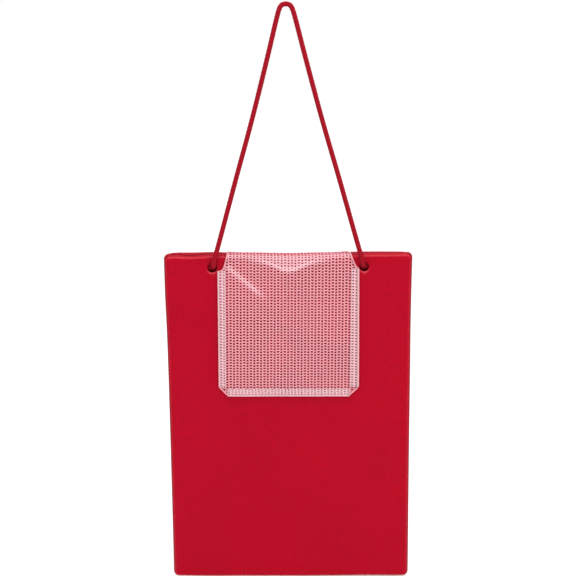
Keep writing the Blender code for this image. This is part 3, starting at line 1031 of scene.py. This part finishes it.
def side_hem(name, side, drifts, lines, foot_v, finish, thread):
    """A side hem and its stitches. Its rows drift along the cloth against the flap's own."""
    hem_top = v_at(HEM_TOP_Z[side]) + 0.3
    start = next(i for i in range(len(lines)) if lines[i + 1] >= hem_top)
    end = next(i for i in range(len(lines)) if lines[i] >= foot_v - FLAP_CHAMFER - 2.2)
    first = 1 if side < 0 else COLUMNS - 2
    low, high = sorted((side * (FLAP_HALF_WIDTH - 0.35), side * (FLAP_HALF_WIDTH - 6.6)))

    def v_hem(r):
        amount = drifts[0] + (drifts[1] - drifts[0]) * smoothstep((r - start) / 14)
        return max(lines[r] + amount * HEM_ROW, hem_top)

    def x_hem(c):
        return low + (high - low) * (c - first) / 2

    cells = net_cells(range(first, first + 2), range(start, end), x_hem, v_hem, part=HEM_HOLE_PART)
    fold = fold_strip([(side * FLAP_HALF_WIDTH, v_hem(r)) for r in range(start, end + 1)], (side, 0))
    hem = make_hem(name, cells, fold, finish)
    places = np.arange(lines[start] + 1.4, lines[end] - 1, STITCH_STEP)
    edge_x = np.full(len(places), side * (FLAP_HALF_WIDTH - 6.2))
    return [hem, hem_stitches(name, edge_x, places, (0, 0, 1), thread)]


def bottom_hem(foot_v, finish, thread):
    low, high = CHAMFER_WIDE[-1] - FLAP_HALF_WIDTH, FLAP_HALF_WIDTH - CHAMFER_WIDE[1]
    first, last = 2, COLUMNS - 2

    def x_bottom(c):
        return low + (high - low) * (c - first) / (last - first)

    def v_bottom(r):
        return foot_v - 6.5 + 2.13 * r - 0.1

    cells = net_cells(range(first, last), range(3), x_bottom, v_bottom, shift=0.1, part=HEM_HOLE_PART)
    fold = fold_strip([(x_bottom(c), foot_v) for c in range(first, last + 1)], (0, 1))
    hem = make_hem("bottom", cells, fold, finish)
    places = np.arange(low + 1.5, high - 1, STITCH_STEP)
    return [hem, hem_stitches("bottom", places, np.full(len(places), foot_v - 6.0), (1, 0, 0), thread)]


def front_net(foot_v, lines, finish):
    """The flap's sheet, cut back beside the neck and across its lower corners."""
    rows = [i for i in range(len(lines) - 1) if lines[i] < foot_v - 0.3]

    def v_of(r):
        return min(lines[r], foot_v)

    points, quads = net_cells(range(COLUMNS), rows, x_of, v_of, folded=True)
    left = [(NECK_SIDES[0], 0.0)] + [(x, v_at(z)) for x, z in LEFT_CUT]
    right = [(NECK_SIDES[1], 0.0)] + [(x, v_at(z)) for x, z in RIGHT_CUT]
    cuts = []
    for line, side in ((left, -1), (right, 1)):
        for (xa, va), (xb, vb) in zip(line, line[1:], strict=False):
            if abs(vb - va) > 0.05:
                outward = Vector((side * (vb - va), -side * (xb - xa), 0)).normalized()
                cuts.append(((va, vb, side, 0), (xa, va, 0), outward))
    corner_v = foot_v - CORNER_REACH
    corners = []
    for side, wide in CHAMFER_WIDE.items():
        region = (corner_v, inf, side, FLAP_HALF_WIDTH - CORNER_REACH)
        outward = Vector((side * FLAP_CHAMFER, wide, 0)).normalized()
        cuts.append((region, (side * FLAP_HALF_WIDTH, foot_v - FLAP_CHAMFER, 0), outward))
        across = [(side * FLAP_HALF_WIDTH, foot_v - FLAP_CHAMFER), (side * (FLAP_HALF_WIDTH - wide), foot_v)]
        corners.append((across, side))
    # split the cells first at every change of direction, so that each cut takes whole faces
    splits = sorted({round(v, 4) for line in (left, right) for _, v in line} | {corner_v})
    points, quads = split_then_clip(points, quads, splits, cuts)
    for line, side in ((left, -1), (right, 1), *corners):
        band_points, band_quads = edge_band(line, side)
        quads = list(quads) + shifted(band_quads, len(points))
        points = np.concatenate([points, band_points])
    flap = net_object("flap_front_visual", points, quads, -1, finish)
    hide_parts("flap_front")
    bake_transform(flap)
    return flap


def back_net(name, rows, v_of, finish):
    """One of the net's two pieces behind the middle of the mouth."""
    points, quads = net_cells(range(2, COLUMNS - 2), rows, x_of, v_of)
    everywhere = (-inf, inf, 0, -1)
    cuts = [(everywhere, (x, 0, 0), (out, 0, 0)) for x, out in zip(NECK_SIDES, (-1, 1), strict=True)]
    points, quads = split_then_clip(points, quads, [], cuts)
    obj = net_object(name + "_visual", points, quads, 1, finish)
    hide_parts(name)
    return obj


def make_flap(net, hem_net, thread):
    lines = row_lines()
    foot_v = v_at(FLAP_BOTTOM_Z)
    flap = front_net(foot_v, lines, net)
    hems = side_hem("left", -1, (0.34, 0.42), lines, foot_v, hem_net, thread)
    hems += side_hem("right", 1, (0.2, 0.2), lines, foot_v, hem_net, thread)
    hems += bottom_hem(foot_v, hem_net, thread)

    # behind the mouth's middle the net goes on over the back lip and down the outside of the back
    back_lines = [0.0, *(v + 1.45 - FIRST_ROW for v in lines[1:])]
    neck_end, anchor_end = (
        next(i for i in range(len(back_lines)) if back_lines[i] >= reach) for reach in (NECK_RUN, ANCHOR_RUN)
    )
    neck = back_net("flap_neck", range(neck_end), back_lines.__getitem__, net)
    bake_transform(neck)
    anchor = back_net("flap_anchor", range(neck_end, anchor_end), back_lines.__getitem__, net)
    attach(anchor, "pouch")
    x_places = np.arange(-56.5, 56.5, STITCH_STEP)
    base = on_back(x_places, np.full(len(x_places), back_lines[anchor_end] - 4.0), np.full(len(x_places), 0.35))
    stitches(
        "anchor_stitches", base, [(1, 0, 0)] * len(base), [(0, 1, 0)] * len(base),
        0.25, 2.2, thread, "pouch", "anchor_thread",
    )


def bisect(bm, geom, at, normal, clear_outer=False):
    bmesh.ops.bisect_plane(bm, geom=geom, dist=1e-4, plane_co=at, plane_no=normal, clear_outer=clear_outer)


def split_then_clip(points, quads, splits, cuts):
    """Splits cloth cells along lines of equal v, then cuts the cells of a region back to a line.

    A cut is a region, as (lowest v, highest v, side, least x on that side), a point and an outward normal."""
    bm = bmesh.new()
    verts = [bm.verts.new(p) for p in points]
    for q in quads:
        bm.faces.new([verts[k] for k in q])
    for v in splits:
        bisect(bm, [*bm.faces, *bm.edges, *bm.verts], (0, v, 0), (0, 1, 0))
    for (low, high, side, least), at, outward in cuts:
        faces = []
        for f in bm.faces:
            centre = f.calc_center_median()
            if low <= centre.y < high and centre.x * side > least:
                faces.append(f)
        edges = {e for f in faces for e in f.edges}
        corners = {v for f in faces for v in f.verts}
        bisect(bm, [*faces, *edges, *corners], at, outward, clear_outer=True)
    loose = [v for v in bm.verts if not v.link_faces]
    bmesh.ops.delete(bm, geom=loose, context="VERTS")
    bm.verts.index_update()
    new_points = np.array([v.co[:] for v in bm.verts])
    new_quads = [tuple(v.index for v in f.verts) for f in bm.faces]
    bm.free()
    return new_points, new_quads


def edge_band(line, side):
    """A narrow band of closed net along a cut edge, in cloth coordinates."""
    line = np.array(line, dtype=float)
    steps = np.concatenate([[0], np.cumsum(np.linalg.norm(np.diff(line, axis=0), axis=1))])
    spots = np.linspace(0, steps[-1], max(2, round(steps[-1] / 1.2)) + 1)
    edge = np.stack([np.interp(spots, steps, line[:, k]) for k in range(2)], -1)
    along = np.gradient(edge, axis=0)
    along /= np.linalg.norm(along, axis=1, keepdims=True)
    inward_v = -1 if line[-1, 1] > 100 else 1  # up from the foot's corners, down from the cuts by the neck
    inward = np.stack([-side * np.abs(along[:, 1]), inward_v * np.abs(along[:, 0])], -1)
    bands = ((-0.05, 0.25), (0.45, 0.42), (0.95, 0.25))
    points = [np.column_stack([edge + inward * step, np.full(len(edge), lift)]) for step, lift in bands]
    return np.concatenate(points), strip_quads(len(bands), len(edge))


def fold_strip(edge, outward):
    """The rounded edge where a hem turns over: a band round the cloth's edge, in cloth coordinates."""
    turns = [(-0.35, 0.12), (-0.1, 0.08), (0.12, 0.25), (0.22, 0.5), (0.12, 0.78), (-0.15, 0.97), (-0.5, 0.98)]
    points = [(x + outward[0] * out, v + outward[1] * out, lift) for x, v in edge for out, lift in turns]
    return np.array(points), strip_quads(len(edge), len(turns))


# ---------------------------------------------------------------- the object
make_camera()
make_studio()

RED = (0.375, 0.0, 0.0125)
CORD_RED = (0.30, 0.003, 0.012)
fabric = coated_fabric("red_coated_fabric", RED, (0.72, 0.10, 0.12))
cord_finish = braided("red_braided_cord", CORD_RED)
lining_finish = woven("red_lining", (0.36, 0.012, 0.022), 700.0)
board = fibreboard("grey_fibreboard")
# The real net is white. The pink in these colours is painted red light, standing for the red face's light that
# shows through and bounces about in the net; the hem, a second layer, is painted less pink.
net_finish = net_film("white_net", (0.77, 0.30, 0.345), (0.84, 0.46, 0.505), 0.97)
hem_finish = net_film("white_net_hem", (0.79, 0.46, 0.50), (0.83, 0.50, 0.54), 0.93)
thread_finish = woven("white_thread", (0.88, 0.80, 0.81), 1500.0, 0.7)
red_thread_finish = woven("red_thread", (0.34, 0.012, 0.02), 1500.0, 0.7)

make_cord(cord_finish)
outer_wall("front_panel_visual", -1, fabric, "front_panel")
outer_wall("back_panel_visual", 1, fabric, "back_panel")
side_wall(fabric)
hole_places = [(x, HOLE_Z, HOLE_RADIUS + 0.3, PATCH) for x in (-HOLE_X, HOLE_X)]
for place, side in (("front", -1), ("back", 1)):
    holes = hole_places if side < 0 else ()
    lip = CREST[side]
    wall_layer(
        place + "_stiffener_visual", side, 1.1, 0.6, 111.5, lip - 6.5, BOTTOM_Z + 3.5, 3.5, board,
        place + "_stiffener", holes,
    )
    wall_layer(
        place + "_facing_visual", side, 2.0, 0.8, 112.0, lip - 6.2, lip - 30.0, 1.0, fabric,
        place + "_lip_facing", holes,
    )
    wall_layer(
        place + "_lining_visual", side, 2.0, 0.4, 112.0, lip - 30.4, BOTTOM_Z + 3.0, 3.2, lining_finish,
        place + "_lining",
    )
    seam_stitches(place + "_seam_stitches", side, red_thread_finish, place + "_seam_thread")
make_flap(net_finish, hem_finish, thread_finish)
